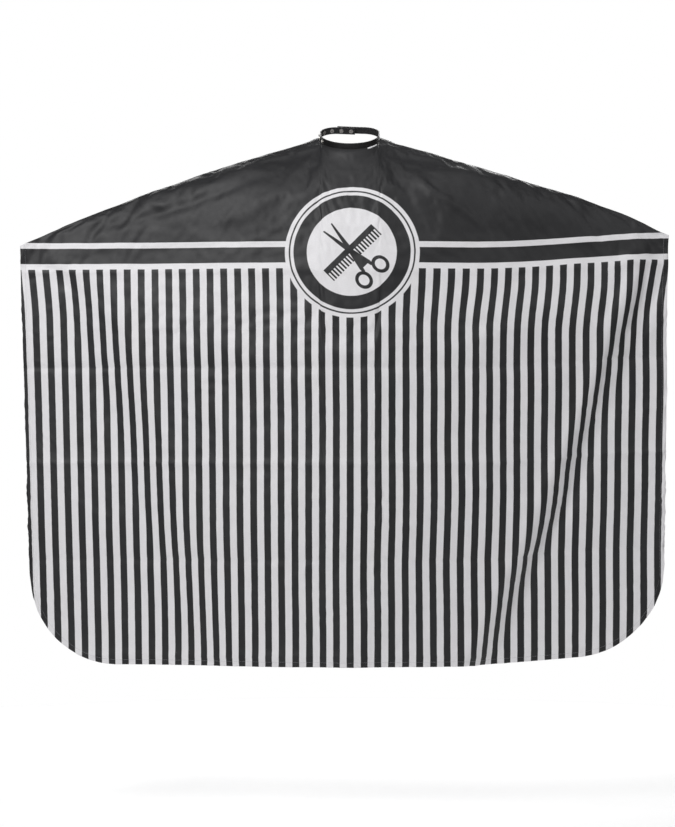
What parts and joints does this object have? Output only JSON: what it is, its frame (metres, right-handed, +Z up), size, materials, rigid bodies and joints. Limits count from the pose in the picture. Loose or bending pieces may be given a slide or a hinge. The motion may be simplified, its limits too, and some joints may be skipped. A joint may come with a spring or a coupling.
{
  "type": "barber cape",
  "caption": "Barber cape hung from its snap-closed neckband with both side corners held out, dark yoke, striped skirt and round motif.",
  "frame": {"origin": "centre of the front half-circle of the closed neckband, where the wearer's neck holds it", "axes": "+Z up, +X to the viewer's right of the front of the cape, -Y out of its front; the neckband's plane is tilted 24 degrees, front down"},
  "size_m": [1.3638, 0.1878, 1.141],
  "materials": {
    "cape_cloth": "satin polyester, printed",
    "band_outer": "satin polyester",
    "band_lining": "matt brushed polyester",
    "interfacing": "non-woven, matt",
    "snap_bright": "nickel plated, polished",
    "snap_plain": "nickel plated, plain",
    "snap_spring": "drawn wire",
    "label_tape": "woven tape, blank"
  },
  "bodies": {
    "root": {"cape_panel": "cape_cloth", "size_label": "label_tape", "neckband_lining": "band_lining", "neckband_interfacing": "interfacing", "neckband_outer": "band_outer", "snap_stud_1": "snap_bright", "snap_stud_2": "snap_bright", "snap_stud_3": "snap_bright", "snap_stud_4": "snap_bright", "snap_stud_5": "snap_bright", "snap_post_1": "snap_plain", "snap_post_2": "snap_plain", "snap_post_3": "snap_plain", "snap_post_4": "snap_plain", "snap_post_5": "snap_plain"},
    "left_end": {"left_end_lining": "band_lining", "left_end_interfacing": "interfacing", "left_end_outer": "band_outer", "snap_stud_6": "snap_bright", "snap_stud_7": "snap_bright", "snap_post_6": "snap_plain", "snap_post_7": "snap_plain"},
    "right_end": {"right_end_lining": "band_lining", "right_end_interfacing": "interfacing", "right_end_outer": "band_outer", "snap_cap_1": "snap_bright", "snap_cap_2": "snap_bright", "snap_socket_1": "snap_plain", "snap_socket_2": "snap_plain", "snap_spring_1": "snap_spring", "snap_spring_2": "snap_spring"}
  },
  "joints": [
    {"name": "right_end_bend", "type": "hinge", "parent": "root", "child": "right_end", "pos_m": [0.028, 0.04385, 0.01952], "axis": [0, 0.4067, -0.9135], "range_deg": [0, 85]},
    {"name": "left_end_bend", "type": "hinge", "parent": "root", "child": "left_end", "pos_m": [-0.028, 0.04385, 0.01952], "axis": [0, -0.4067, 0.9135], "range_deg": [0, 17]}
  ],
  "couplings": [
    {"joint": "left_end_bend", "follows": "right_end_bend", "ratio": 0.2}
  ]
}
